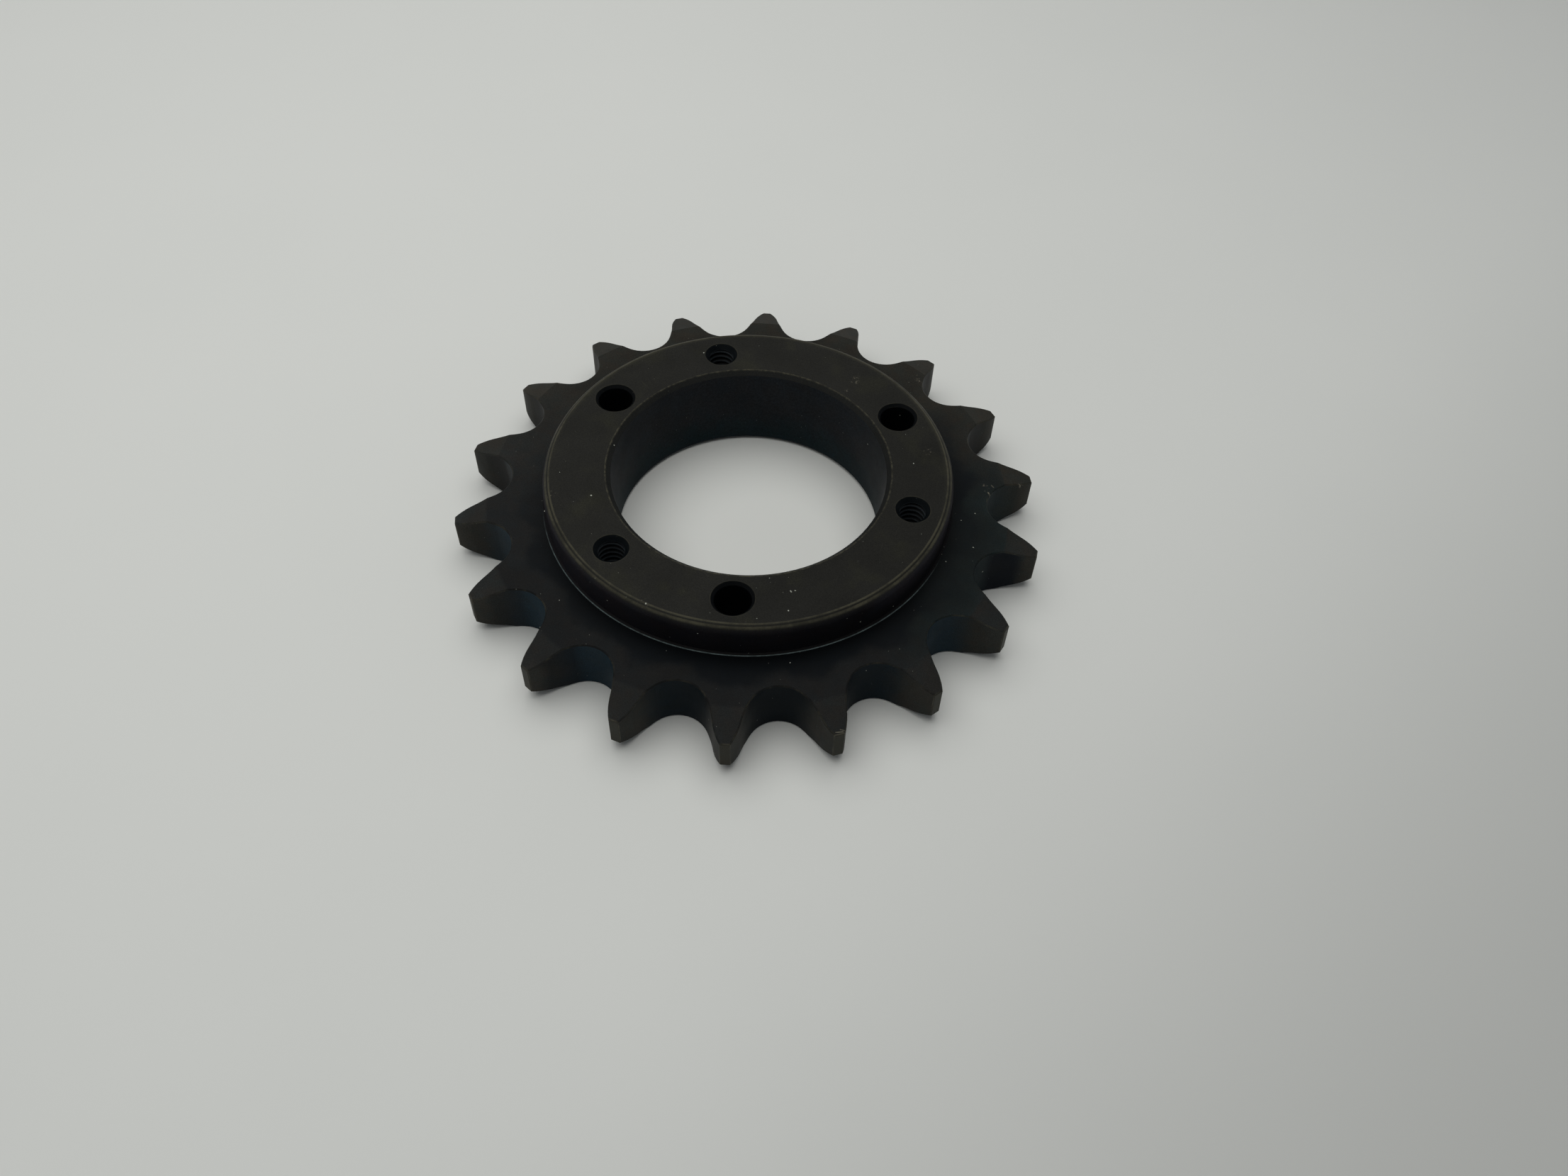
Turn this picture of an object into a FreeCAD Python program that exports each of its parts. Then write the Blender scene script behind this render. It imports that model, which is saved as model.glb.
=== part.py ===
import FreeCAD, Part
import math
import os

import Sketcher

# Roller-chain sprocket with a taper bore for a quick-detachable bushing.
# Frame: origin at the centre of the back face, +Z along the bore axis towards
# the hub face. One tooth gap is centred on +Y. All lengths in mm, angles in
# degrees.

Vector = FreeCAD.Vector
SAME_PLACE = 1e-6
SAME_SIZE = 1e-4
doc = FreeCAD.newDocument("rear_sprocket")
sheet = doc.addObject("Spreadsheet::Sheet", "dims")

DRIVING = [
    ("tooth_count", 18),
    ("chain_pitch", 19.05),
    ("roller_dia", 11.91),
    ("plate_thick", 11.66),
    ("crease_rad", 53.05),
    ("flank_drop", 2.35),
    ("tooth_edge", 0.25),
    ("seat_rad", 39.40),
    ("seat_edge", 0.40),
    ("hub_length", 19.05),
    ("hub_rad", 41.275),
    ("hub_face_rad", 39.91),
    ("hub_round_rad", 2.08),
    ("foot_width", 0.62),
    ("foot_height", 0.25),
    ("bore_mouth_rad", 27.78),
    ("bore_taper", 0.03125),
    ("bore_edge", 0.90),
    ("bolt_circle_rad", 34.13),
    ("hole_count", 3),
    ("tapped_rad", 3.175),
    ("tapped_edge", 0.30),
    ("tapped_angle", 114.2),
    ("clear_rad", 3.57),
    ("clear_edge", 0.60),
    ("clear_angle", 39.1),
]
for row, (alias, value) in enumerate(DRIVING, start=1):
    sheet.set("A%d" % row, alias)
    sheet.set("B%d" % row, str(value))
    sheet.setAlias("B%d" % row, alias)
doc.recompute()


def dim(alias):
    return float(sheet.get(alias))


def origin_part(body, role):
    return [part for part in body.Origin.OriginFeatures if part.Role == role][0]


def new_sketch(body, name, role):
    sketch = body.newObject("Sketcher::SketchObject", name)
    sketch.AttachmentSupport = [(origin_part(body, role), "")]
    sketch.MapMode = "FlatFace"
    return sketch


def bind(sketch, constraint, name, expression):
    index = sketch.addConstraint(constraint)
    sketch.renameConstraint(index, name)
    sketch.setExpression("Constraints." + name, expression)


def join_ends(sketch):
    """Tie every pair of touching end points of the sketch's open curves."""
    ends = []
    for index, curve in enumerate(sketch.Geometry):
        ends.append((index, 1, curve.StartPoint))
        ends.append((index, 2, curve.EndPoint))
    for first, (index_a, end_a, point_a) in enumerate(ends):
        for index_b, end_b, point_b in ends[first + 1:]:
            if index_a != index_b and point_a.distanceToPoint(point_b) < SAME_PLACE:
                sketch.addConstraint(Sketcher.Constraint("Coincident", index_a, end_a, index_b, end_b))


def polygon_sketch(body, name, points):
    """Closed profile in the XZ plane. points: (r, z, r expression, z expression)."""
    sketch = new_sketch(body, name, "XZ_Plane")
    for index, (r, z, _, _) in enumerate(points):
        after = points[(index + 1) % len(points)]
        sketch.addGeometry(Part.LineSegment(Vector(r, z, 0), Vector(after[0], after[1], 0)))
    join_ends(sketch)
    for index, (r, z, r_text, z_text) in enumerate(points):
        bind(sketch, Sketcher.Constraint("DistanceX", -1, 1, index, 1, r), "r%02d" % index, r_text)
        if abs(z) < SAME_PLACE:
            sketch.addConstraint(Sketcher.Constraint("PointOnObject", index, 1, -1))
        else:
            bind(sketch, Sketcher.Constraint("DistanceY", -1, 1, index, 1, z), "z%02d" % index, z_text)
    return sketch


def turn(body, kind, name, sketch):
    feature = body.newObject("PartDesign::" + kind, name)
    feature.Profile = sketch
    feature.ReferenceAxis = (sketch, ["V_Axis"])
    feature.Angle = 360
    sketch.Visibility = False
    doc.recompute()
    return feature


def cut_through(body, name, sketch):
    """Cut the sketch upwards through the whole body."""
    before = body.Shape.Volume
    feature = body.newObject("PartDesign::Pocket", name)
    feature.Profile = sketch
    feature.Type = "ThroughAll"
    feature.Reversed = True
    sketch.Visibility = False
    doc.recompute()
    if body.Shape.Volume >= before:
        raise RuntimeError(name + " removed nothing")
    return feature


def repeat(body, name, feature, count_text):
    pattern = body.newObject("PartDesign::PolarPattern", name)
    pattern.Originals = [feature]
    pattern.Axis = (origin_part(body, "Z_Axis"), [""])
    pattern.Angle = 360
    body.Tip = pattern
    pattern.setExpression("Occurrences", count_text)
    doc.recompute()
    return pattern


def dress(body, kind, name, keep, size_text):
    """Chamfer or fillet every edge of the body's tip that keep accepts."""
    base = body.Tip
    names = ["Edge%d" % (i + 1) for i, edge in enumerate(base.Shape.Edges) if keep(edge)]
    feature = body.newObject("PartDesign::" + kind, name)
    feature.Base = (base, names)
    feature.setExpression("Radius" if kind == "Fillet" else "Size", size_text)
    doc.recompute()
    return feature


def arc(centre, radius, start, end):
    circle = Part.Circle(Vector(centre[0], centre[1], 0), Vector(0, 0, 1), radius)
    return Part.ArcOfCircle(circle, start, end)


def heading(centre, point):
    return math.atan2(point[1] - centre[1], point[0] - centre[0])


# Standard roller-chain tooth form, for the gap centred on +Y. The seating
# curve holds the roller, the working curve and a short flat carry it up the
# flank and the topping curve rounds the tooth off to the outside diameter.
TEETH = dim("tooth_count")
HALF_STEP = math.pi / TEETH
ROLLER = dim("roller_dia")
PITCH_RAD = dim("chain_pitch") / 2 / math.sin(HALF_STEP)
TIP_RAD = dim("chain_pitch") * (0.6 + 1 / math.tan(HALF_STEP)) / 2
SEATING_RAD = 0.5025 * ROLLER + 0.0381
WORKING_RAD = 0.8 * ROLLER + SEATING_RAD
SEATING_ANGLE = math.radians(35 + 60 / TEETH)
WORKING_ANGLE = math.radians(18 - 56 / TEETH)
FLAT_ANGLE = math.radians(17 - 64 / TEETH)
FLAT_LENGTH = ROLLER * (1.4 * math.sin(FLAT_ANGLE) - 0.8 * math.sin(WORKING_ANGLE))
GAP_ROOT_RAD = PITCH_RAD - SEATING_RAD
CLEAR_OF_TIP = 1.0
# An edge taller than this share of the tip's width stands along the bore axis.
TIP_WIDTH_SHARE = 0.6


def gap_sketch(body):
    """One tooth gap, from the roller seat out past the tooth tips."""
    seat = (0.0, PITCH_RAD)
    working = (0.8 * ROLLER * math.cos(SEATING_ANGLE), PITCH_RAD + 0.8 * ROLLER * math.sin(SEATING_ANGLE))
    topping = (-1.4 * ROLLER * math.cos(HALF_STEP), PITCH_RAD - 1.4 * ROLLER * math.sin(HALF_STEP))
    seat_end = math.pi + SEATING_ANGLE
    flat_start_at = seat_end - WORKING_ANGLE
    flat_start = (working[0] + WORKING_RAD * math.cos(flat_start_at),
                  working[1] + WORKING_RAD * math.sin(flat_start_at))
    flat_end = (flat_start[0] + FLAT_LENGTH * math.sin(flat_start_at),
                flat_start[1] - FLAT_LENGTH * math.cos(flat_start_at))
    topping_rad = math.hypot(flat_end[0] - topping[0], flat_end[1] - topping[1])
    # The topping curve stops where it meets the outside diameter.
    reach = math.hypot(*topping)
    opening = math.acos((reach ** 2 + topping_rad ** 2 - TIP_RAD ** 2) / (2 * reach * topping_rad))
    tip_at = heading(topping, (0, 0)) + opening
    tip = (topping[0] + topping_rad * math.cos(tip_at), topping[1] + topping_rad * math.sin(tip_at))
    rise = tip[1] + CLEAR_OF_TIP
    sketch = new_sketch(body, "tooth_gap", "XY_Plane")
    sketch.addGeometry(arc(seat, SEATING_RAD, seat_end, 2 * math.pi - SEATING_ANGLE))
    sketch.addGeometry(arc(working, WORKING_RAD, flat_start_at, seat_end))
    sketch.addGeometry(Part.LineSegment(Vector(*flat_start, 0), Vector(*flat_end, 0)))
    sketch.addGeometry(arc(topping, topping_rad, heading(topping, flat_end), tip_at))
    sketch.addGeometry(Part.LineSegment(Vector(*tip, 0), Vector(tip[0], rise, 0)))
    sketch.addGeometry(arc((-working[0], working[1]), WORKING_RAD,
                           3 * math.pi - seat_end, 3 * math.pi - flat_start_at))
    sketch.addGeometry(Part.LineSegment(Vector(-flat_start[0], flat_start[1], 0),
                                        Vector(-flat_end[0], flat_end[1], 0)))
    sketch.addGeometry(arc((-topping[0], topping[1]), topping_rad,
                           math.pi - tip_at, math.pi - heading(topping, flat_end)))
    sketch.addGeometry(Part.LineSegment(Vector(-tip[0], tip[1], 0), Vector(-tip[0], rise, 0)))
    sketch.addGeometry(Part.LineSegment(Vector(tip[0], rise, 0), Vector(-tip[0], rise, 0)))
    join_ends(sketch)
    sketch.addConstraint(Sketcher.Constraint("PointOnObject", 0, 3, -2))
    bind(sketch, Sketcher.Constraint("DistanceY", -1, 1, 0, 3, PITCH_RAD), "pitch_rad",
         "dims.chain_pitch / 2 / sin(180 deg / dims.tooth_count)")
    bind(sketch, Sketcher.Constraint("Radius", 0, SEATING_RAD), "seating_rad",
         "dims.roller_dia * 0.5025 + 0.0381")
    return sketch


def build_toothed_plate():
    body = doc.addObject("PartDesign::Body", "toothed_plate")
    body.Label = "toothed_plate"
    drop = dim("flank_drop")
    thick = dim("plate_thick")
    seat = dim("seat_rad")
    edge = dim("seat_edge")
    tip_text = "dims.chain_pitch * (0.6 + 1 / tan(180 deg / dims.tooth_count)) / 2"
    # Turned blank: flat ring, both sides relieved by a shallow cone towards
    # the tips, bored for the hub with a small bevel at the back.
    blank = polygon_sketch(body, "blank", [
        (seat, thick, "dims.seat_rad", "dims.plate_thick"),
        (seat, edge, "dims.seat_rad", "dims.seat_edge"),
        (seat + edge, 0.0, "dims.seat_rad + dims.seat_edge", ""),
        (dim("crease_rad"), 0.0, "dims.crease_rad", ""),
        (TIP_RAD, drop, tip_text, "dims.flank_drop"),
        (TIP_RAD, thick - drop, tip_text, "dims.plate_thick - dims.flank_drop"),
        (dim("crease_rad"), thick, "dims.crease_rad", "dims.plate_thick"),
    ])
    turn(body, "Revolution", "ring", blank)
    gap = cut_through(body, "gap", gap_sketch(body))
    repeat(body, "gaps", gap, "dims.tooth_count")

    def is_crease(edge_item):
        curve = edge_item.Curve
        return isinstance(curve, Part.Circle) and abs(curve.Radius - dim("crease_rad")) < SAME_SIZE

    def on_tooth_outline(edge_item):
        # Edges between a side face (flat or cone) and a gap wall or tip land.
        start = edge_item.valueAt(edge_item.FirstParameter)
        outside = math.hypot(start.x, start.y) > GAP_ROOT_RAD - SAME_SIZE
        upright = edge_item.BoundBox.ZLength > TIP_WIDTH_SHARE * (thick - 2 * drop)
        return outside and not upright and not is_crease(edge_item)

    dress(body, "Chamfer", "tooth_edges", on_tooth_outline, "dims.tooth_edge")
    return body


def rim_edges(radius, heights):
    def keep(edge):
        curve = edge.Curve
        return (isinstance(curve, Part.Circle) and abs(curve.Radius - radius) < SAME_SIZE
                and any(abs(curve.Center.z - z) < SAME_SIZE for z in heights))
    return keep


def hole_row(body, name):
    """Three equal holes on the bolt circle, bevelled at both mouths."""
    radius = dim(name + "_rad")
    angle = math.radians(dim(name + "_angle"))
    reach = dim("bolt_circle_rad")
    centre = Vector(reach * math.cos(angle), reach * math.sin(angle), 0)
    sketch = new_sketch(body, name + "_outline", "XY_Plane")
    sketch.addGeometry(Part.Circle(centre, Vector(0, 0, 1), radius))
    bind(sketch, Sketcher.Constraint("Radius", 0, radius), "rim", "dims.%s_rad" % name)
    for kind, value, call in (("DistanceX", centre.x, "cos"), ("DistanceY", centre.y, "sin")):
        text = "dims.bolt_circle_rad * %s(dims.%s_angle * 1 deg)" % (call, name)
        bind(sketch, Sketcher.Constraint(kind, -1, 1, 0, 3, value), "centre_" + call, text)
    hole = cut_through(body, name + "_hole", sketch)
    repeat(body, name + "_holes", hole, "dims.hole_count")
    mouths = rim_edges(radius, (0.0, dim("hub_length")))
    dress(body, "Chamfer", name + "_mouths", mouths, "dims.%s_edge" % name)


def round_shoulder(body):
    """Turn the boss's outer corner round: the arc runs into the wall smoothly
    and meets the face at a shallow angle, which leaves a fine edge there."""
    top = dim("hub_length")
    outer = dim("hub_rad")
    inner = dim("hub_face_rad")
    radius = dim("hub_round_rad")
    centre_r = outer - radius
    depth = math.sqrt(radius ** 2 - (inner - centre_r) ** 2)
    spare = 1.0
    before = body.Shape.Volume
    sketch = new_sketch(body, "shoulder", "XZ_Plane")
    corners = [Vector(inner, top, 0), Vector(inner, top + spare, 0), Vector(outer + spare, top + spare, 0),
               Vector(outer + spare, top - depth, 0), Vector(outer, top - depth, 0)]
    sketch.addGeometry(arc((centre_r, top - depth), radius, 0.0, math.asin(depth / radius)))
    for start, end in zip(corners, corners[1:]):
        sketch.addGeometry(Part.LineSegment(start, end))
    join_ends(sketch)
    bind(sketch, Sketcher.Constraint("Radius", 0, radius), "round", "dims.hub_round_rad")
    bind(sketch, Sketcher.Constraint("DistanceX", -1, 1, 0, 3, centre_r), "centre_r",
         "dims.hub_rad - dims.hub_round_rad")
    bind(sketch, Sketcher.Constraint("DistanceX", -1, 1, 1, 1, inner), "face_edge", "dims.hub_face_rad")
    bind(sketch, Sketcher.Constraint("DistanceY", -1, 1, 1, 1, top), "face_height", "dims.hub_length")
    turn(body, "Groove", "shoulder_round", sketch)
    if body.Shape.Volume >= before:
        raise RuntimeError("the shoulder removed nothing")


def build_hub():
    body = doc.addObject("PartDesign::Body", "hub")
    body.Label = "hub"
    top = dim("hub_length")
    thick = dim("plate_thick")
    mouth = dim("bore_mouth_rad")
    tail = mouth - dim("bore_taper") * top
    edge = dim("bore_edge")
    tail_text = "dims.bore_mouth_rad - dims.bore_taper * "
    # Turned profile: tapered bore widest at the hub face, spigot inside the
    # plate, shoulder on the plate and the boss above it.
    profile = polygon_sketch(body, "section", [
        (tail + edge, 0.0, tail_text + "dims.hub_length + dims.bore_edge", ""),
        (dim("seat_rad") - dim("seat_edge"), 0.0, "dims.seat_rad - dims.seat_edge", ""),
        (dim("seat_rad"), dim("seat_edge"), "dims.seat_rad", "dims.seat_edge"),
        (dim("seat_rad"), thick, "dims.seat_rad", "dims.plate_thick"),
        (dim("hub_rad") + dim("foot_width"), thick, "dims.hub_rad + dims.foot_width", "dims.plate_thick"),
        (dim("hub_rad"), thick + dim("foot_height"), "dims.hub_rad", "dims.plate_thick + dims.foot_height"),
        (dim("hub_rad"), top, "dims.hub_rad", "dims.hub_length"),
        (mouth + edge, top, "dims.bore_mouth_rad + dims.bore_edge", "dims.hub_length"),
        (mouth - dim("bore_taper") * edge, top - edge, tail_text + "dims.bore_edge",
         "dims.hub_length - dims.bore_edge"),
        (tail + dim("bore_taper") * edge, edge, tail_text + "(dims.hub_length - dims.bore_edge)",
         "dims.bore_edge"),
    ])
    turn(body, "Revolution", "turning", profile)
    round_shoulder(body)
    hole_row(body, "tapped")
    hole_row(body, "clear")
    return body


bodies = [build_toothed_plate(), build_hub()]
doc.recompute()

for item in doc.Objects:
    if "Invalid" in item.State or "Error" in item.State:
        raise RuntimeError(item.Name + " did not compute")
os.makedirs("parts", exist_ok=True)
for body in bodies:
    if body.Shape.isNull() or not body.Shape.isValid():
        raise RuntimeError(body.Label + " has no valid shape")
    body.Shape.exportStep("parts/%s.step" % body.Label)
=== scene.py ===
import math

import bpy
from mathutils import Matrix, Vector

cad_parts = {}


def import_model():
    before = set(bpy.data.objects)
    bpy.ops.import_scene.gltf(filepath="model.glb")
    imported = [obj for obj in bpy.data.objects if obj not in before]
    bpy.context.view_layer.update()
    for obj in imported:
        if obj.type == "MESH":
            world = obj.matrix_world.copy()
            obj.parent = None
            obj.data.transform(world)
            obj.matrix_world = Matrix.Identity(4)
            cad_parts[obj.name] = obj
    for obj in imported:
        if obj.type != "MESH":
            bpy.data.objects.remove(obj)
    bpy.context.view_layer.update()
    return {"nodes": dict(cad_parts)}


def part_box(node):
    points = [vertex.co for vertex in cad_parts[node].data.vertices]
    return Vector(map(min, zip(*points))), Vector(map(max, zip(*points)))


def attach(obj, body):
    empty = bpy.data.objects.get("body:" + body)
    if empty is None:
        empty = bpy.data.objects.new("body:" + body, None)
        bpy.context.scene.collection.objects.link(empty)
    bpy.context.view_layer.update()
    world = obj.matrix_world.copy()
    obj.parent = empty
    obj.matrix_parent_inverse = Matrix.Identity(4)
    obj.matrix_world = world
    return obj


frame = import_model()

# ---------------------------------------------------------------- dimensions
# Millimetres and degrees, in the frame of the CAD. The hub's box gives the
# length through the bore, the plate's box its thickness and tip radius.
MM = 0.001
HUB_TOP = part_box("hub")[1][2] / MM
PLATE_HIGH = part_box("toothed_plate")[1]
PLATE_TOP = PLATE_HIGH[2] / MM
TIP_RADIUS = PLATE_HIGH[0] / MM
CREASE_RADIUS = 53.05
CONE_DROP = 2.35
CONE_SLOPE = CONE_DROP / (TIP_RADIUS - CREASE_RADIUS)
GAP_ROOT_RADIUS = 48.82
TEETH = 18
HUB_RADIUS = 41.275
FOOT_RADIUS = 41.895
FACE_EDGE_RADIUS = 39.91
BORE_EDGE_RADIUS = 28.68
BOLT_CIRCLE = 34.13
CLEAR_HOLE_RADIUS = 3.57
TAPPED_HOLE_RADIUS = 3.175
CLEAR_MOUTH_RADIUS = CLEAR_HOLE_RADIUS + 0.60
TAPPED_MOUTH_RADIUS = TAPPED_HOLE_RADIUS + 0.30

# Thread in the tapped holes. The shares are parts of its pitch. The collar
# is the countersink between the hole's mouth and the thread's crest, and
# every thread starts further round than the one before.
THREAD_PITCH = 1.27
THREAD_CREST_RADIUS = 2.58
THREAD_INTO_WALL = 0.03
THREAD_STEPS = 48
THREAD_BASE_SHARE = 0.44
THREAD_FLANK_SHARE = 0.33
THREAD_SOFT_SHARE = 0.03
THREAD_CORNER = 0.06
THREAD_BOTTOM = 0.65
THREAD_RUN_OUT_TURNS = 0.3
THREAD_TURN_ON = 37.0
COUNTERSINK = TAPPED_MOUTH_RADIUS - THREAD_CREST_RADIUS
COLLAR_GAP = 0.20
COLLAR_BACK_SHARE = 0.33
COLLAR_LIP_SHARE = 0.05
SHARP_EDGE = 30.0


def on_bolt_circle(angles):
    """Centres (x, y) of the holes at these angles."""
    turns = [math.radians(angle) for angle in angles]
    return [(BOLT_CIRCLE * math.cos(turn), BOLT_CIRCLE * math.sin(turn)) for turn in turns]


CLEAR_HOLES = on_bolt_circle([39.1, 159.1, 279.1])
TAPPED_HOLES = on_bolt_circle([114.2, 234.2, 354.2])


# ------------------------------------------------------------- node building
class Shader:
    """Short calls for building one material's nodes. Lengths are millimetres.

    A mask is 1 where something shows and 0 where it doesn't.
    """

    def __init__(self, name):
        self.material = bpy.data.materials.new(name)
        self.material.use_nodes = True
        self.tree = self.material.node_tree
        self.surface = self.tree.nodes["Principled BSDF"]
        coordinates = self.tree.nodes.new("ShaderNodeTexCoord")
        self.place = self.vector("SCALE", coordinates.outputs["Object"], scale=1 / MM)
        self.x, self.y, self.z = self.split(self.place)
        self.radius = self.math("SQRT", self.plus(self.times(self.x, self.x), self.times(self.y, self.y)))
        self.angle = self.math("ARCTAN2", self.y, self.x)
        self.upward = self.math("ABSOLUTE", self.split(coordinates.outputs["Normal"])[2])

    def put(self, socket, value):
        if isinstance(value, bpy.types.NodeSocket):
            self.tree.links.new(value, socket)
        elif isinstance(value, tuple) and len(value) == 3 and socket.type == "RGBA":
            socket.default_value = (*value, 1.0)
        else:
            socket.default_value = value

    def math(self, operation, first, second=None, third=None, clamp=False):
        node = self.tree.nodes.new("ShaderNodeMath")
        node.operation = operation
        node.use_clamp = clamp
        for socket, value in zip(node.inputs, (first, second, third)):
            if value is not None:
                self.put(socket, value)
        return node.outputs[0]

    def vector(self, operation, first, second=None, scale=None):
        node = self.tree.nodes.new("ShaderNodeVectorMath")
        node.operation = operation
        self.put(node.inputs[0], first)
        if second is not None:
            self.put(node.inputs[1], second)
        if scale is not None:
            self.put(node.inputs["Scale"], scale)
        return node.outputs[0]

    def plus(self, first, second):
        return self.math("ADD", first, second)

    def minus(self, first, second):
        return self.math("SUBTRACT", first, second)

    def times(self, first, *factors):
        for factor in factors:
            first = self.math("MULTIPLY", first, factor)
        return first

    def larger(self, first, second):
        return self.math("MAXIMUM", first, second)

    def split(self, vector):
        node = self.tree.nodes.new("ShaderNodeSeparateXYZ")
        self.put(node.inputs[0], vector)
        return node.outputs[0], node.outputs[1], node.outputs[2]

    def join(self, x, y, z):
        node = self.tree.nodes.new("ShaderNodeCombineXYZ")
        for socket, value in zip(node.inputs, (x, y, z)):
            self.put(socket, value)
        return node.outputs[0]

    def noise(self, size, detail=2.0, at=None, offset=0.0, rough=0.5):
        """Noise from 0 to 1 whose blotches are about size across."""
        node = self.tree.nodes.new("ShaderNodeTexNoise")
        node.inputs["Scale"].default_value = 1.0 / size
        node.inputs["Detail"].default_value = detail
        node.inputs["Roughness"].default_value = rough
        where = self.vector("ADD", at or self.place, (offset, offset * 0.7, offset * 1.3))
        self.put(node.inputs["Vector"], where)
        return node.outputs["Fac"]

    def fade(self, value, low, high):
        """0 below low, 1 above high, smooth between.

        If low is the larger, it is 1 below high and 0 above low.
        """
        node = self.tree.nodes.new("ShaderNodeMapRange")
        node.interpolation_type = "SMOOTHSTEP"
        self.put(node.inputs["Value"], value)
        node.inputs["From Min"].default_value = min(low, high)
        node.inputs["From Max"].default_value = max(low, high)
        node.inputs["To Min"].default_value = 0.0 if low < high else 1.0
        node.inputs["To Max"].default_value = 1.0 if low < high else 0.0
        return node.outputs["Result"]

    def band(self, value, middle, half_width):
        """1 at middle, fading to 0 half_width away."""
        return self.fade(self.math("ABSOLUTE", self.minus(value, middle)), half_width, 0.0)

    def lift(self, value, mask, amount):
        """The value raised by this amount where the mask is."""
        return self.math("MULTIPLY_ADD", mask, amount, value)

    def span(self, mask, low, high):
        """The mask stretched to run from low to high."""
        return self.lift(low, mask, high - low)

    def lean(self, degrees):
        """1 on the side of the part that faces this direction, -1 on the far side."""
        return self.math("COSINE", self.minus(self.angle, math.radians(degrees)))

    def side(self, degrees, low, high):
        """1 where the lean toward this direction is above high, 0 where it is below low."""
        return self.fade(self.lean(degrees), low, high)

    def reach(self, centre):
        """Distance from the line through centre (x, y) parallel to the bore axis."""
        node = self.tree.nodes.new("ShaderNodeVectorMath")
        node.operation = "DISTANCE"
        self.put(node.inputs[0], self.join(self.x, self.y, 0.0))
        node.inputs[1].default_value = (*centre, 0.0)
        return node.outputs["Value"]

    def disc(self, centre, radius, soft):
        return self.fade(self.reach(centre), radius + soft, radius - soft)

    def turned(self, x, y, direction):
        """Distances along and across a direction, which is (cosine, sine)."""
        cosine, sine = direction
        along = self.plus(self.times(x, cosine), self.times(y, sine))
        across = self.minus(self.times(y, cosine), self.times(x, sine))
        return along, across

    def stroke(self, start, end, half_width):
        """A thin mark from start to end, both (x, y)."""
        length = math.dist(start, end)
        direction = ((end[0] - start[0]) / length, (end[1] - start[1]) / length)
        x = self.minus(self.x, (start[0] + end[0]) / 2)
        y = self.minus(self.y, (start[1] + end[1]) / 2)
        along, across = [self.math("ABSOLUTE", way) for way in self.turned(x, y, direction)]
        return self.times(self.fade(along, length / 2, length / 2 - half_width),
                          self.fade(across, half_width, half_width * 0.4))

    def specks(self, cell, size, share, offset):
        """Small round dots of up to this size. This share of the cells holds one."""
        node = self.tree.nodes.new("ShaderNodeTexVoronoi")
        node.inputs["Scale"].default_value = 1.0 / cell
        self.put(node.inputs["Vector"], self.vector("ADD", self.place, (offset, offset, offset)))
        pick = self.split(node.outputs["Color"])
        dot = self.math("LESS_THAN", node.outputs["Distance"], self.times(pick[1], size / cell))
        return self.times(dot, self.math("LESS_THAN", pick[0], share))

    def mix(self, factor, first, second):
        node = self.tree.nodes.new("ShaderNodeMix")
        node.data_type = "RGBA"
        self.put(node.inputs["Factor"], factor)
        self.put(node.inputs["A"], first)
        self.put(node.inputs["B"], second)
        return node.outputs["Result"]

    def paint(self, colour, mask, strength, over):
        """The colour with another one laid over it where the mask is."""
        return self.mix(self.times(mask, strength), colour, over)

    def tint(self, colour, gain):
        """The colour multiplied by a grey gain."""
        return self.vector("SCALE", colour, scale=gain)

    def bump(self, height, distance, strength):
        node = self.tree.nodes.new("ShaderNodeBump")
        node.inputs["Strength"].default_value = strength
        node.inputs["Distance"].default_value = distance * MM
        self.put(node.inputs["Height"], height)
        return node.outputs["Normal"]

    def finish(self, colour, roughness, normal, gloss):
        self.surface.inputs["Specular IOR Level"].default_value = gloss
        self.put(self.surface.inputs["Base Color"], colour)
        self.put(self.surface.inputs["Roughness"], roughness)
        self.put(self.surface.inputs["Normal"], normal)
        return self.material


# ------------------------------------------------------------ colours, places
WARM_OXIDE = (0.0164, 0.0164, 0.0140)
OLIVE_OXIDE = (0.0225, 0.0226, 0.0152)
BROWN_OXIDE = (0.0216, 0.0209, 0.0170)
GREY_OXIDE = (0.0180, 0.0197, 0.0205)
TEAL_OXIDE = (0.0115, 0.0195, 0.0200)
COOL_OXIDE_AND_SHADE = (0.0026, 0.0060, 0.0092)
GAP_OXIDE = (0.0036, 0.0082, 0.0120)
PALE_GAP_OXIDE = (0.0290, 0.0330, 0.0360)
FLANK_SHADE_COLOUR = (0.0020, 0.0042, 0.0080)
FLANK_OXIDE = (0.0105, 0.0105, 0.0105)
BORE_OXIDE = (0.0118, 0.0140, 0.0170)
BORE_FOOT_OXIDE = (0.0070, 0.0145, 0.0180)
BORE_BEVEL_OXIDE = (0.0130, 0.0136, 0.0122)
WALL_OXIDE = (0.0062, 0.0058, 0.0074)
MOUTH_OXIDE = (0.0013, 0.0026, 0.0034)
CLEAR_MOUTH_OXIDE = (0.0015, 0.0022, 0.0027)
WORN_EDGE_AND_HIGHLIGHT = (0.0635, 0.0605, 0.0415)
BARE_EDGE = (0.1500, 0.1380, 0.1050)
FOOT_HIGHLIGHT_COLOUR = (0.0800, 0.1050, 0.1050)
CREST_WEAR_AND_HIGHLIGHT = (0.0330, 0.0400, 0.0450)
WARM_DRIFT = (1.09, 1.00, 0.93)
COOL_DRIFT = (0.93, 1.01, 1.03)
DUST = (0.42, 0.44, 0.38)
FLOOR_TONES = [(0.800, 0.822, 0.790), (0.828, 0.846, 0.814)]
OXIDE_GLOSS = 0.07
HARD_OXIDE_GLOSS = 0.08
FLOOR_GLOSS = 0.5
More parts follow.
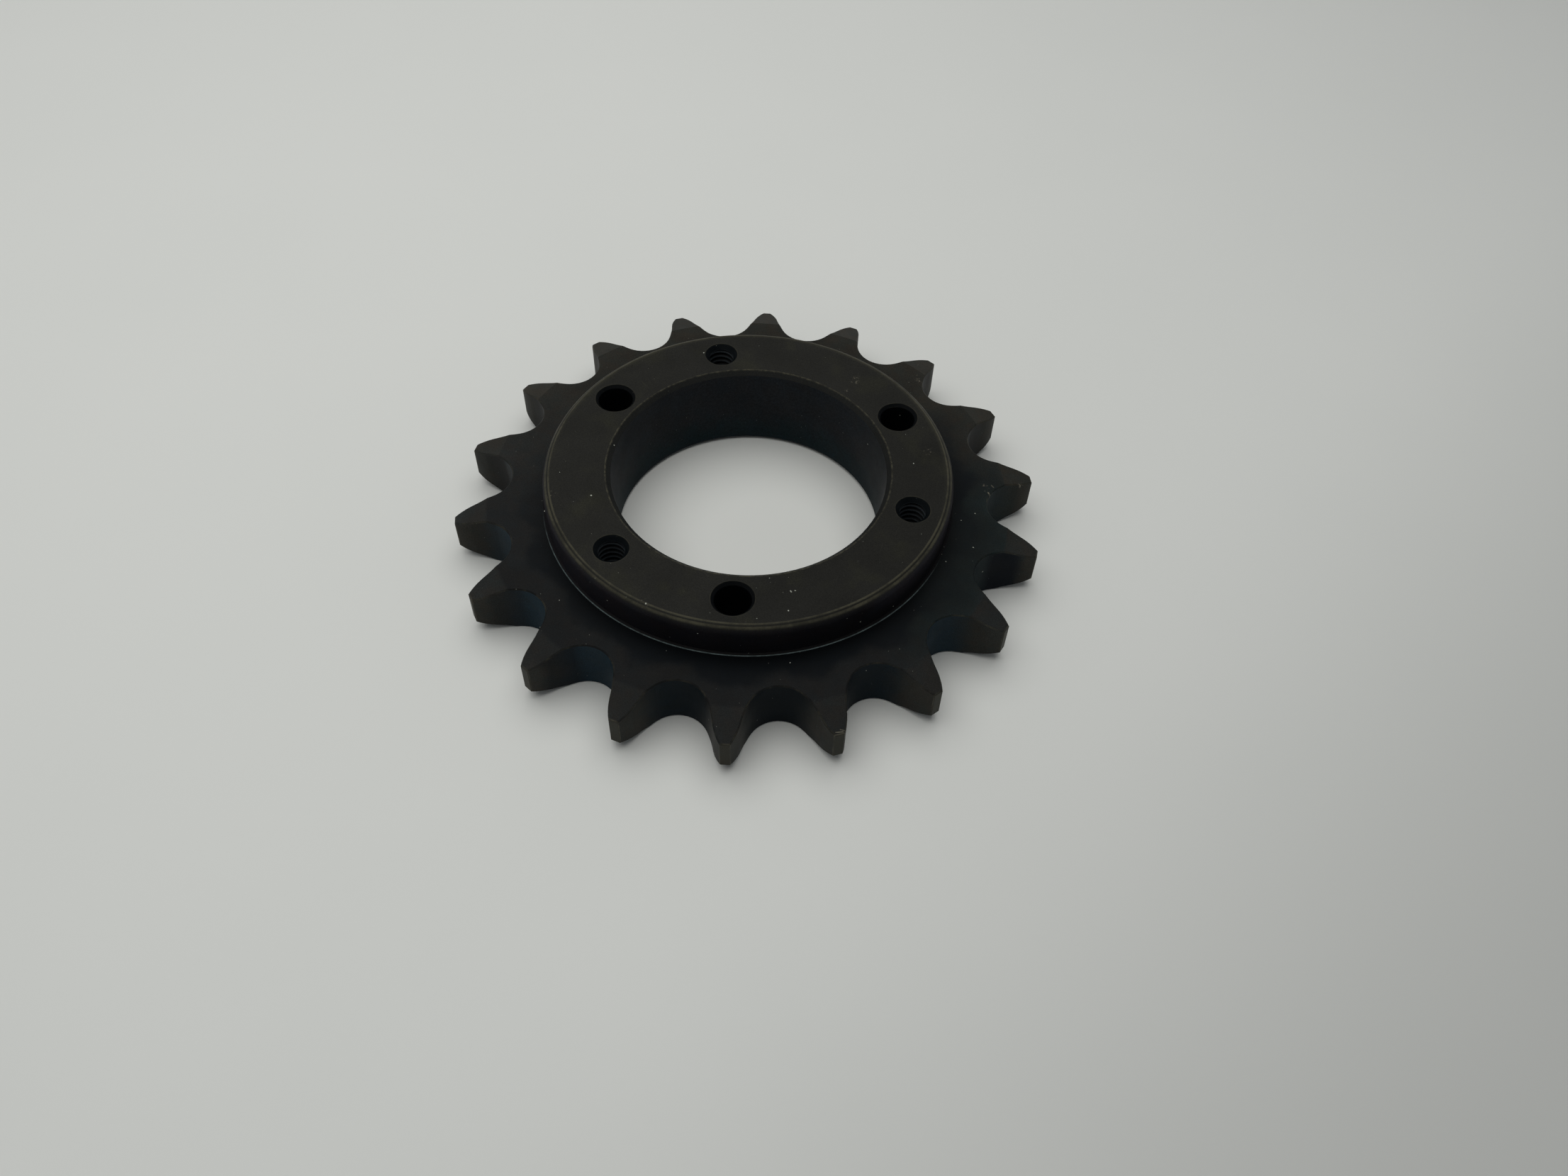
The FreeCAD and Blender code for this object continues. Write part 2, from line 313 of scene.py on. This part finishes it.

# Directions, in degrees round the bore, of the sides where the oxide differs and of the sides toward which
# painted light or shade lies.
COOL_SIDE = 300.0
SHADY_SIDE = 340.0
PALE_SIDE = 95.0
LIT_FLATS_SIDE = 111.0
SHEEN_CONES_SIDE = 113.0
TEAL_SIDE = 350.0
TEAL_GAPS_SIDE = TEAL_SIDE + 12.0
GAP_SHADE_SIDE = 290.0
GAP_PALE_SIDE = 112.0
LEFT_LIT_SIDE = 205.0
LIGHTER_TOP_SIDE = 344.0
FOOT_HIGHLIGHT_SIDE = 275.0
DIM_EDGE_SIDE = 288.0

# Marks at places of their own, (x, y, size) but where said.
STAINS = [(-7.7, -34.3, 2.2), (-4.0, -34.4, 1.6)]
FACE_SCUFFS = [
    (15.9, 30.5, 1.7),
    (14.5, 26.9, 0.9),
    (34.3, 13.3, 1.5),
    (-10.0, -38.6, 1.2),
    (-35.6, -17.6, 1.8),
]
TOOTH_SCUFFS = [
    (28.3, 43.2, 2.0),
    (28.9, 41.5, 1.6),
    (54.4, 17.0, 1.2),
    (48.1, 12.2, 1.5),
    (47.0, 13.4, 1.2),
]
FACE_SPECKS = [
    (15.44, -29.45, 0.17),
    (16.15, -29.05, 0.14),
    (36.6, -9.4, 0.08),
    (32.0, 9.0, 0.07),
]
PLATE_SPECKS = [
    (46.0, 5.5, 0.08),
    (43.5, 2.9, 0.08),
    (46.9, -3.7, 0.09),
    (42.2, -8.7, 0.08),
    (18.0, -40.1, 0.07),
]
# Each (direction, strength).
SHADED_FLANKS = [(359.3, 0.95), (242.0, 0.55), (222.0, 0.35)]
# Each (start, end, half width).
NICKS = [
    ((29.6, -50.85), (30.8, -50.7), 0.08),
    ((28.9, -51.6), (30.4, -51.0), 0.10),
    ((53.6, 17.2), (55.0, 17.2), 0.16),
    ((54.3, 15.5), (54.8, 16.6), 0.18),
    ((48.1, 14.3), (48.8, 13.6), 0.16),
    ((47.7, 12.1), (48.4, 11.2), 0.20),
]
SCRATCH_DIRECTIONS = (0.4, 1.5, 2.5)


# ----------------------------------------------------- what the steels share
def grain(shader):
    """Brightness of the oxide: soft blotches and a fine crystalline grain."""
    cloud = shader.span(shader.noise(9.0, 4.0), 0.65, 1.35)
    fine = shader.span(shader.noise(0.18, 1.0, offset=31.0), 0.35, 1.65)
    return shader.times(cloud, fine)


def drift(shader, colour):
    """The oxide's hue wanders a little between brown and blue-green."""
    hue = shader.fade(shader.noise(3.5, 6.0, offset=91.0, rough=0.65), 0.36, 0.64)
    return shader.vector("MULTIPLY", colour, shader.mix(hue, COOL_DRIFT, WARM_DRIFT))


def scuffs(shader, colour, marks, where):
    """Patches of short pale scratches, each (x, y, reach)."""
    scrape = shader.fade(shader.noise(0.8, 4.0, offset=37.0, rough=0.75), 0.54, 0.66)
    for x, y, reach in marks:
        near = shader.fade(shader.reach((x, y)), reach, reach * 0.3)
        colour = shader.paint(colour, shader.times(near, scrape, where), 0.60, BARE_EDGE)
    return colour


def dusty(shader, colour, specks, where):
    """A few ragged grains of dust, each (x, y, radius), and fine dust all over."""
    ragged = shader.span(shader.noise(0.25, offset=7.0), -0.30, 0.30)
    soft = 0.05
    for x, y, size in specks:
        away = shader.plus(shader.reach((x, y)), ragged)
        colour = shader.mix(shader.times(shader.fade(away, size + soft, size - soft), where), colour, DUST)
    few = shader.specks(2.6, 0.19, 0.22, 5.0)
    more = shader.specks(1.0, 0.08, 0.30, 17.0)
    return shader.mix(shader.larger(few, shader.times(more, 0.35)), colour, DUST)


def satin(shader):
    """Roughness of the oxide."""
    return shader.span(shader.noise(5.0, offset=3.0), 0.44, 0.60)


def pitted(shader, height=None):
    """Fine relief of the oxide, added to height if there is one."""
    pits = shader.noise(0.25, offset=9.0)
    if height is not None:
        pits = shader.plus(height, pits)
    return shader.bump(pits, 0.02, 0.35)


# ------------------------------------------------------------------- the hub
def scratches(shader):
    """A few fine straight marks in three directions, broken along their length."""
    total = None
    for number, turn in enumerate(SCRATCH_DIRECTIONS):
        along, across = shader.turned(shader.x, shader.y, (math.cos(turn), math.sin(turn)))
        where = shader.join(shader.times(along, 0.20), shader.times(across, 5.0), number * 7.0)
        line = shader.fade(shader.noise(1.0, 0.0, at=where), 0.80, 0.86)
        total = line if total is None else shader.larger(total, line)
    return total


def screw_holes(shader, colour, patchy):
    """Cooler, darker mouths and walls of the six screw holes, with a rubbed rim."""
    holes = [(centre, CLEAR_MOUTH_RADIUS, CLEAR_MOUTH_OXIDE) for centre in CLEAR_HOLES]
    holes += [(centre, TAPPED_MOUTH_RADIUS, MOUTH_OXIDE) for centre in TAPPED_HOLES]
    for centre, mouth, oxide in holes:
        colour = shader.mix(shader.disc(centre, mouth, 0.05), colour, oxide)
        rim = shader.band(shader.reach(centre), mouth + 0.02, 0.14)
        colour = shader.paint(colour, shader.times(rim, patchy), 0.38, WORN_EDGE_AND_HIGHLIGHT)
    return colour


def hub_face(shader, on_top):
    """Warm oxide with olive stains, and a greyer bevel at the bore."""
    stains = shader.fade(shader.noise(7.0, 4.0, offset=41.0), 0.52, 0.72)
    for x, y, reach in STAINS:
        stains = shader.larger(stains, shader.fade(shader.reach((x, y)), reach, 0.0))
    face = shader.paint(WARM_OXIDE, stains, 0.60, OLIVE_OXIDE)
    bevelled = shader.fade(shader.radius, BORE_EDGE_RADIUS - 0.05, BORE_EDGE_RADIUS - 0.15)
    return shader.mix(shader.times(bevelled, on_top), face, BORE_BEVEL_OXIDE)


def hub_sides(shader):
    """Dark outer wall, brightened by painted light on its left side and lighter near the top on another side,
    and a mottled bore that is bluer low down.
    """
    low = shader.plus(shader.z, shader.span(shader.noise(4.0, 4.0, offset=71.0), -6.0, 6.0))
    bore_wall = shader.mix(shader.fade(low, 10.0, 2.0), BORE_OXIDE, BORE_FOOT_OXIDE)
    mottled = shader.span(shader.noise(0.5, 4.0, offset=57.0, rough=0.7), 0.20, 1.80)
    # Painted light brightens the wall on the side the lamp falls on.
    left_light = shader.span(shader.side(LEFT_LIT_SIDE, 0.5, 1.0), 1.0, 2.1)
    lighter_top = shader.times(shader.side(LIGHTER_TOP_SIDE, 0.86, 0.97),
                          shader.fade(shader.z, HUB_TOP - 6.5, HUB_TOP - 2.0))
    wall = shader.tint(WALL_OXIDE, shader.lift(left_light, lighter_top, 1.7))
    in_bore = shader.fade(shader.radius, BORE_EDGE_RADIUS + 0.52, BORE_EDGE_RADIUS - 0.48)
    return drift(shader, shader.mix(in_bore, wall, shader.tint(bore_wall, mottled)))


def hub_wear(shader, colour, on_top, at_foot, facing):
    """Rubbed edges of the holes, the face and the bore; wear and a painted highlight on the face's edge and
    the shoulder; a painted highlight round the foot; and fine scratches.
    """
    patchy = shader.fade(shader.noise(3.0, 4.0, offset=11.0), 0.30, 0.60)
    crumbly = shader.fade(shader.noise(0.9, 5.0, offset=83.0, rough=0.6), 0.30, 0.70)
    uneven = shader.span(shader.fade(shader.noise(10.0, offset=63.0), 0.38, 0.60), 0.74, 1.14)
    sparse = shader.times(shader.span(patchy, 0.62, 1.12), shader.span(crumbly, 0.66, 1.26))
    # The painted highlight on the face's edge and the shoulder is weaker toward the front.
    dim_front_edge = shader.span(shader.side(DIM_EDGE_SIDE, 0.94, 0.995), 1.0, 0.7)
    wear_and_highlight = shader.times(sparse, uneven, dim_front_edge)
    colour = screw_holes(shader, colour, patchy)
    halo = shader.times(shader.band(shader.radius, FACE_EDGE_RADIUS - 0.10, 0.80), on_top, sparse,
                        shader.side(PALE_SIDE, -0.3, 0.5))
    colour = shader.paint(colour, halo, 0.30, WORN_EDGE_AND_HIGHLIGHT)
    # The shoulder and the face's edge: wear and a painted highlight.
    shoulder = shader.times(shader.fade(shader.radius, FACE_EDGE_RADIUS + 0.41, FACE_EDGE_RADIUS + 0.61),
                            shader.fade(shader.radius, FACE_EDGE_RADIUS + 1.05, FACE_EDGE_RADIUS + 0.71),
                            on_top, wear_and_highlight)
    colour = shader.paint(colour, shoulder, 0.90, WORN_EDGE_AND_HIGHLIGHT)
    face_edge = shader.times(shader.band(shader.radius, FACE_EDGE_RADIUS + 0.04, 0.30), on_top, wear_and_highlight)
    colour = shader.paint(colour, face_edge, 1.12, WORN_EDGE_AND_HIGHLIGHT)
    bore_edge = shader.times(shader.band(shader.radius, BORE_EDGE_RADIUS + 0.05, 0.30),
                             on_top, sparse, crumbly)
    colour = shader.paint(colour, bore_edge, 0.95, WORN_EDGE_AND_HIGHLIGHT)
    # A painted highlight runs in a thin line round the outside of the foot, bright on one side.
    foot_highlight = shader.times(shader.fade(shader.radius, FOOT_RADIUS - 0.25, FOOT_RADIUS - 0.15), at_foot,
                        shader.span(shader.side(FOOT_HIGHLIGHT_SIDE, 0.25, 0.62), 0.03, 1.0))
    colour = shader.mix(foot_highlight, colour, shader.tint(FOOT_HIGHLIGHT_COLOUR, sparse))
    return shader.paint(colour, shader.times(scratches(shader), facing), 0.18, WORN_EDGE_AND_HIGHLIGHT)


def hub_material():
    shader = Shader("black_oxide_turned")
    facing = shader.fade(shader.upward, 0.30, 0.80)
    on_top = shader.fade(shader.z, HUB_TOP - 2.0, HUB_TOP - 1.6)
    at_foot = shader.times(shader.fade(shader.radius, HUB_RADIUS - 0.10, HUB_RADIUS + 0.02),
                           shader.fade(shader.z, PLATE_TOP + 1.5, PLATE_TOP + 0.5))
    sides = hub_sides(shader)
    # Painted shade: the narrow slope at the foot is darkened to a third of the wall's colour.
    face = shader.mix(at_foot, hub_face(shader, on_top), shader.tint(sides, 0.35))
    colour = shader.mix(facing, sides, face)
    turning = shader.join(shader.times(shader.radius, 3.5), 0.0, shader.times(shader.z, 3.5))
    rings = shader.noise(1.0, at=turning)
    # Painted shade darkens the hub toward one side.
    shade = shader.span(shader.side(SHADY_SIDE, 0.2, 1.0), 1.06, 0.86)
    colour = shader.tint(colour, shader.times(grain(shader), shade, shader.span(rings, 0.92, 1.08)))
    colour = hub_wear(shader, colour, on_top, at_foot, facing)
    colour = scuffs(shader, colour, FACE_SCUFFS, on_top)
    colour = dusty(shader, colour, FACE_SPECKS, on_top)
    return shader.finish(colour, satin(shader), pitted(shader, shader.times(rings, 0.6)), OXIDE_GLOSS)


# ----------------------------------------------------------------- the plate
def plate_painted_light(shader, edge, cone):
    """Painted light and shade on the side faces.

    The cone of the teeth is lighter than the flat by a painted sheen, and both
    are lit more by painted light away from the blue-black patch. Painted light
    also brightens the tips on the lamp's side, and painted shade darkens the
    steel round the hub's foot.
    """
    # Painted light: the flats, and with a painted sheen the cones, are lighter toward one side.
    flat_light = shader.span(shader.side(LIT_FLATS_SIDE, -0.6, 0.9), 0.45, 0.91)
    cone_light = shader.span(shader.side(SHEEN_CONES_SIDE, -0.9, 0.8), 0.77, 1.23)
    # Painted light on the tips of the teeth on the lamp's side.
    tip = shader.times(shader.fade(shader.radius, 56.0, 59.2), shader.side(LEFT_LIT_SIDE, 0.2, 0.9))
    baked = shader.times(shader.fade(edge, 47.5, 51.0), shader.side(PALE_SIDE, -0.6, 0.2))
    rubbed = shader.times(shader.side(TEAL_SIDE, 0.75, 0.97), shader.fade(edge, 48.5, 53.5))
    flat_light = shader.lift(shader.lift(flat_light, baked, 0.15), rubbed, 0.28)
    cone_light = shader.lift(shader.lift(cone_light, tip, 0.28), rubbed, 0.16)
    gain = shader.plus(shader.times(flat_light, shader.minus(1.0, cone)), shader.times(cone_light, cone))
    # Painted shade round the hub's foot on the cool side.
    hub_shade = shader.times(shader.fade(shader.radius, 46.0, 42.0), shader.side(COOL_SIDE, -0.2, 0.6))
    return shader.times(gain, shader.span(hub_shade, 1.0, 0.65))


def plate_faces(shader, ragged, cone, steel):
    """Steel round the gaps, heated and browner, and nearer the hub teal oxide in places and blue-black oxide
    with painted shade in others.
    """
    lobes = shader.math("COSINE", shader.times(shader.minus(shader.angle, math.pi / 2), TEETH))
    edge = shader.plus(shader.radius, shader.plus(ragged, shader.times(lobes, 1.3)))
    cool_lean = shader.lean(COOL_SIDE)
    far_edge = shader.lift(45.6, cool_lean, 1.6)
    heated = shader.fade(shader.minus(edge, far_edge), -1.6, 1.6)
    cleared = shader.span(shader.side(TEAL_SIDE, 0.93, 0.99), 1.0, 0.4)
    # Blue-black oxide near the hub, darkened there as painted shade from the hub.
    cool_and_shade = shader.times(shader.minus(1.0, heated), shader.fade(cool_lean, -0.75, 0.45), cleared)
    teal = shader.times(shader.side(TEAL_SIDE, 0.78, 0.96), shader.fade(edge, 54.5, 50.5),
                        shader.fade(shader.radius, CREASE_RADIUS + 0.30, CREASE_RADIUS - 0.30))
    faces = shader.mix(cool_and_shade, shader.paint(steel, teal, 0.9, TEAL_OXIDE), COOL_OXIDE_AND_SHADE)
    return shader.tint(faces, plate_painted_light(shader, edge, cone))


def gap_walls(shader, ragged, steel):
    """Walls of the tooth gaps.

    On the near side they are blue-black at the roller's seat and paler up the
    flanks, with painted shade on the seats at the front and painted light on the
    left. On the pale side the seats are bare grey and the flanks dark. Painted
    shade darkens the flanks that face the front.
    """
    climb = shader.plus(shader.radius, shader.times(ragged, 0.3))
    # Painted shade darkens the seats facing the front; elsewhere painted light lifts them.
    seat = shader.tint(GAP_OXIDE, shader.span(shader.side(GAP_SHADE_SIDE, 0.78, 1.0), 2.30, 0.55))
    near_wall = shader.mix(shader.fade(climb, 49.6, 55.5), seat, shader.mix(0.6, steel, BROWN_OXIDE))
    # Painted light on the walls on the lamp's side.
    near_wall = shader.tint(near_wall, shader.span(shader.side(LEFT_LIT_SIDE, 0.50, 0.95), 1.12, 1.34))
    flank = shader.mix(shader.fade(climb, 53.0, 57.5), FLANK_OXIDE, BROWN_OXIDE)
    far_wall = shader.mix(shader.fade(climb, 50.4, 51.8), PALE_GAP_OXIDE, flank)
    wall = shader.mix(shader.side(GAP_PALE_SIDE, -0.12, 0.10), near_wall, far_wall)
    washed = shader.times(shader.side(TEAL_GAPS_SIDE, 0.93, 0.985), shader.fade(climb, 58.0, 55.0))
    wall = shader.paint(wall, washed, 0.75, TEAL_OXIDE)
    # Painted shade on the flanks that face the front.
    for degrees, strength in SHADED_FLANKS:
        flank_shade = shader.times(shader.side(degrees, 0.991, 0.9975), shader.fade(climb, 58.6, 55.8),
                              shader.fade(climb, 49.5, 51.5))
        wall = shader.paint(wall, flank_shade, strength, FLANK_SHADE_COLOUR)
    return wall


def tooth_wear(shader, colour):
    """Broken bright lines on the bevels and round the tip lands, knocks, scrapes and dust."""
    broken = shader.fade(shader.noise(3.0, 5.0, offset=23.0), 0.40, 0.68)
    crumbly = shader.span(shader.fade(shader.noise(0.7, 4.0, offset=29.0), 0.35, 0.65), 0.4, 1.2)
    bevel = shader.times(shader.band(shader.upward, 0.70, 0.16),
                         shader.fade(shader.radius, GAP_ROOT_RADIUS - 0.82, GAP_ROOT_RADIUS - 0.22),
                         broken, crumbly)
    toward_tip = shader.span(shader.fade(shader.radius, 52.0, 58.5), 0.35, 0.85)
    colour = shader.paint(colour, bevel, toward_tip, WORN_EDGE_AND_HIGHLIGHT)
    land = shader.fade(shader.radius, TIP_RADIUS - 0.40, TIP_RADIUS - 0.10)
    colour = shader.paint(colour, land, 0.28, WORN_EDGE_AND_HIGHLIGHT)
    land_edge = shader.times(shader.band(shader.radius, TIP_RADIUS - 0.16, 0.15), broken)
    colour = shader.paint(colour, land_edge, 0.45, BARE_EDGE)
    # Knocks and scrapes lie on the flat and the cone, or just over their edge.
    slope = shader.times(shader.larger(shader.minus(shader.radius, CREASE_RADIUS), 0.0), CONE_SLOPE)
    sunk = shader.minus(PLATE_TOP, shader.plus(shader.z, slope))
    near_surface = shader.fade(sunk, 1.1, 0.6)
    colour = scuffs(shader, colour, TOOTH_SCUFFS, near_surface)
    for start, end, half_width in NICKS:
        nick = shader.times(shader.stroke(start, end, half_width), near_surface)
        colour = shader.paint(colour, nick, crumbly, BARE_EDGE)
    return dusty(shader, colour, PLATE_SPECKS, near_surface)


def plate_material():
    shader = Shader("black_oxide_hardened")
    ragged = shader.span(shader.noise(7.0, 4.0, offset=2.0), -4.5, 4.5)
    cone = shader.fade(shader.radius, CREASE_RADIUS - 0.40, CREASE_RADIUS + 0.40)
    brown = shader.math("MULTIPLY_ADD", cone, 0.35, shader.side(PALE_SIDE, -0.5, 0.8), clamp=True)
    steel = shader.mix(brown, GREY_OXIDE, BROWN_OXIDE)
    facing = shader.fade(shader.upward, 0.30, 0.60)
    walls = gap_walls(shader, ragged, steel)
    colour = drift(shader, shader.mix(facing, walls, plate_faces(shader, ragged, cone, steel)))
    colour = tooth_wear(shader, shader.tint(colour, grain(shader)))
    return shader.finish(colour, satin(shader), pitted(shader), HARD_OXIDE_GLOSS)


# --------------------------------------------------------------- the threads
def thread_material():
    """Rubbed metal and a painted highlight on the crests, and dark oxide in the grooves and on the
    countersink.
    """
    shader = Shader("black_oxide_thread")
    away = None
    for centre in TAPPED_HOLES:
        reach = shader.reach(centre)
        away = reach if away is None else shader.math("MINIMUM", away, reach)
    countersink_foot = HUB_TOP - COUNTERSINK
    # The crests are lighter: wear and a painted highlight.
    crest = shader.times(shader.fade(away, THREAD_CREST_RADIUS + 0.32, THREAD_CREST_RADIUS + 0.02),
                         shader.fade(shader.z, countersink_foot + 0.05, countersink_foot - 0.05))
    colour = shader.tint(shader.mix(crest, MOUTH_OXIDE, CREST_WEAR_AND_HIGHLIGHT), grain(shader))
    roughness = shader.span(shader.noise(1.5, offset=3.0), 0.30, 0.50)
    return shader.finish(colour, roughness, pitted(shader), OXIDE_GLOSS)


def ridge_section(grow):
    """Section of the ridge as (radius, height) pairs; grow from 0 to 1 lets it rise from the wall."""
    root = TAPPED_HOLE_RADIUS + THREAD_INTO_WALL
    crest = TAPPED_HOLE_RADIUS - (TAPPED_HOLE_RADIUS - THREAD_CREST_RADIUS) * grow
    corner = crest + THREAD_CORNER
    base = THREAD_PITCH * THREAD_BASE_SHARE
    slim = THREAD_PITCH * (THREAD_BASE_SHARE - THREAD_FLANK_SHARE * grow)
    soft = THREAD_PITCH * THREAD_SOFT_SHARE
    return [(root, -base), (corner, -slim - soft), (crest, -slim + soft),
            (crest, slim - soft), (corner, slim + soft), (root, base)]


def collar_section():
    """Section of the countersink from the hole's mouth down to the thread's crest."""
    root = TAPPED_HOLE_RADIUS + THREAD_INTO_WALL
    mouth = HUB_TOP - (TAPPED_MOUTH_RADIUS - root)
    foot = HUB_TOP - COUNTERSINK
    return [(root, mouth), (root, foot - THREAD_PITCH * COLLAR_BACK_SHARE),
            (THREAD_CREST_RADIUS, foot - THREAD_PITCH * COLLAR_LIP_SHARE), (THREAD_CREST_RADIUS, foot)]


def ridge_sections():
    """The ridge's sections, one every step of the helix, thin at both ends."""
    top = HUB_TOP - COUNTERSINK - COLLAR_GAP
    last = int((top - THREAD_BOTTOM) / THREAD_PITCH * THREAD_STEPS)
    run_out = THREAD_STEPS * THREAD_RUN_OUT_TURNS
    sections = []
    for step in range(last + 1):
        z = THREAD_BOTTOM + THREAD_PITCH * step / THREAD_STEPS
        grow = min(1.0, step / run_out, (last - step) / run_out)
        sections.append([(radius, z + rise) for radius, rise in ridge_section(grow)])
    return sections


def sweep(centre, sections, start, closed):
    """Vertices and faces of a tube through the sections, one every step of the turn round centre."""
    around = len(sections[0])
    verts = []
    for step, section in enumerate(sections):
        at = start + 2 * math.pi * step / THREAD_STEPS
        verts += [((centre[0] + radius * math.cos(at)) * MM, (centre[1] + radius * math.sin(at)) * MM, z * MM)
                  for radius, z in section]
    faces = []
    for step in range(len(sections) if closed else len(sections) - 1):
        here = step * around
        there = (step + 1) % len(sections) * around
        for corner in range(around):
            after = (corner + 1) % around
            faces.append((here + corner, here + after, there + after, there + corner))
    if not closed:
        faces.append(tuple(reversed(range(around))))
        faces.append(tuple(range(len(verts) - around, len(verts))))
    return verts, faces


def thread(number, centre):
    """Right-hand internal thread standing on the wall of one tapped hole, with its countersink."""
    verts, faces = sweep(centre, ridge_sections(), math.radians(THREAD_TURN_ON * number), False)
    collar_verts, collar_faces = sweep(centre, [collar_section()] * THREAD_STEPS, 0.0, True)
    faces += [tuple(corner + len(verts) for corner in face) for face in collar_faces]
    verts += collar_verts
    mesh = bpy.data.meshes.new("thread_%d" % number)
    mesh.from_pydata(verts, [], faces)
    mesh.validate()
    mesh.update()
    for face in mesh.polygons:
        face.use_smooth = True
    mesh.set_sharp_from_angle(angle=math.radians(SHARP_EDGE))
    ridge = bpy.data.objects.new("thread_%d" % number, mesh)
    bpy.context.scene.collection.objects.link(ridge)
    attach(ridge, "root")
    return ridge


# ---------------------------------------------------------------- the object
def dress(obj, material):
    obj.data.materials.clear()
    obj.data.materials.append(material)


frame["nodes"]["hub"].material_slots[0].material = hub_material()
frame["nodes"]["toothed_plate"].material_slots[0].material = plate_material()
THREAD_STEEL = thread_material()
for number, centre in enumerate(TAPPED_HOLES, start=1):
    dress(thread(number, centre), THREAD_STEEL)

# -------------------------------------------------------------------- studio
# Metres and degrees. The lamp is a wide disc above the far left. The walls
# are pale up to one height and the ceiling is dim from another, both given as
# the upward part of the direction looked in.
FLOOR_HALF = 12.0
FLOOR_DROP = -0.00005
SHADED_CORNER = 326.0
WALL_LIGHT = (0.50, 0.51, 0.53)
CEILING_LIGHT = (0.09, 0.092, 0.095)
WALLS_UP_TO = 0.10
CEILING_FROM = 0.60
LAMP_WATTS = 2.58
LAMP_WIDTH = 0.88
LAMP_PLACE = Vector((-0.158, 0.110, 0.51))
LAMP_AIM = Vector((-0.19, 0.13, 0.0))
LAMP_COLOUR = (1.0, 0.99, 0.97)


def floor():
    """A pale sheet with painted shade that darkens it a little toward one corner."""
    corners = [(-1, -1), (1, -1), (1, 1), (-1, 1)]
    mesh = bpy.data.meshes.new("floor")
    mesh.from_pydata([(x * FLOOR_HALF, y * FLOOR_HALF, FLOOR_DROP) for x, y in corners], [], [(0, 1, 2, 3)])
    plane = bpy.data.objects.new("floor", mesh)
    bpy.context.scene.collection.objects.link(plane)
    shader = Shader("pale_floor")
    toward = shader.times(shader.radius, shader.lean(SHADED_CORNER))
    shaded = shader.span(shader.fade(toward, 45.0, 190.0), 1.0, 0.76)
    colour = shader.tint(shader.mix(shader.noise(60.0), *FLOOR_TONES), shaded)
    roughness = shader.span(shader.noise(20.0, 1.0), 0.55, 0.60)
    dress(plane, shader.finish(colour, roughness, shader.bump(shader.noise(1.0), 0.01, 0.1), FLOOR_GLOSS))


def world():
    """Soft room light: pale walls all round and a dim ceiling."""
    room = bpy.data.worlds.new("studio")
    bpy.context.scene.world = room
    room.use_nodes = True
    tree = room.node_tree
    coordinates = tree.nodes.new("ShaderNodeTexCoord")
    split = tree.nodes.new("ShaderNodeSeparateXYZ")
    tree.links.new(coordinates.outputs["Generated"], split.inputs[0])
    ramp = tree.nodes.new("ShaderNodeValToRGB")
    stops = [(WALLS_UP_TO, WALL_LIGHT), (CEILING_FROM, CEILING_LIGHT)]
    for stop, (position, colour) in zip(ramp.color_ramp.elements, stops):
        stop.position = position
        stop.color = (*colour, 1.0)
    tree.links.new(split.outputs["Z"], ramp.inputs[0])
    tree.links.new(ramp.outputs["Color"], tree.nodes["Background"].inputs["Color"])


def lamp():
    light = bpy.data.lights.new("overhead", "AREA")
    light.shape = "DISK"
    light.size = LAMP_WIDTH
    light.energy = LAMP_WATTS
    light.color = LAMP_COLOUR
    holder = bpy.data.objects.new("overhead", light)
    holder.location = LAMP_PLACE
    holder.rotation_euler = (LAMP_AIM - LAMP_PLACE).to_track_quat("-Z", "Y").to_euler()
    bpy.context.scene.collection.objects.link(holder)


floor()
world()
lamp()

# -------------------------------------------------------------------- camera
# The camera looks down at the part from close by, a little from its right.
# Angles in radians, distances in metres, lens and sensor in millimetres.
CAMERA_ELEVATION = 0.8890
CAMERA_TURN = -0.1987
CAMERA_ROLL = 0.0400
CAMERA_DISTANCE = 0.27689
OBJECT_OFFSET = (-0.00750, -0.01252)
LENS = 30.0
SENSOR_WIDTH = 36.0
CLIP_START = 0.01

rise, reach = math.sin(CAMERA_ELEVATION), math.cos(CAMERA_ELEVATION)
tilt = Matrix(((1.0, 0.0, 0.0), (0.0, -rise, -reach), (0.0, reach, -rise)))
right, down, forward = Matrix.Rotation(CAMERA_ROLL, 3, "Z") @ tilt @ Matrix.Rotation(CAMERA_TURN, 3, "Z")
camera = bpy.data.objects.new("camera", bpy.data.cameras.new("camera"))
camera.matrix_world = Matrix((right, -down, -forward)).transposed().to_4x4()
camera.location = -(OBJECT_OFFSET[0] * right + OBJECT_OFFSET[1] * down + CAMERA_DISTANCE * forward)
camera.data.lens = LENS
camera.data.sensor_width = SENSOR_WIDTH
camera.data.clip_start = CLIP_START
bpy.context.scene.collection.objects.link(camera)
bpy.context.scene.camera = camera
bpy.context.scene.view_settings.view_transform = "Standard"
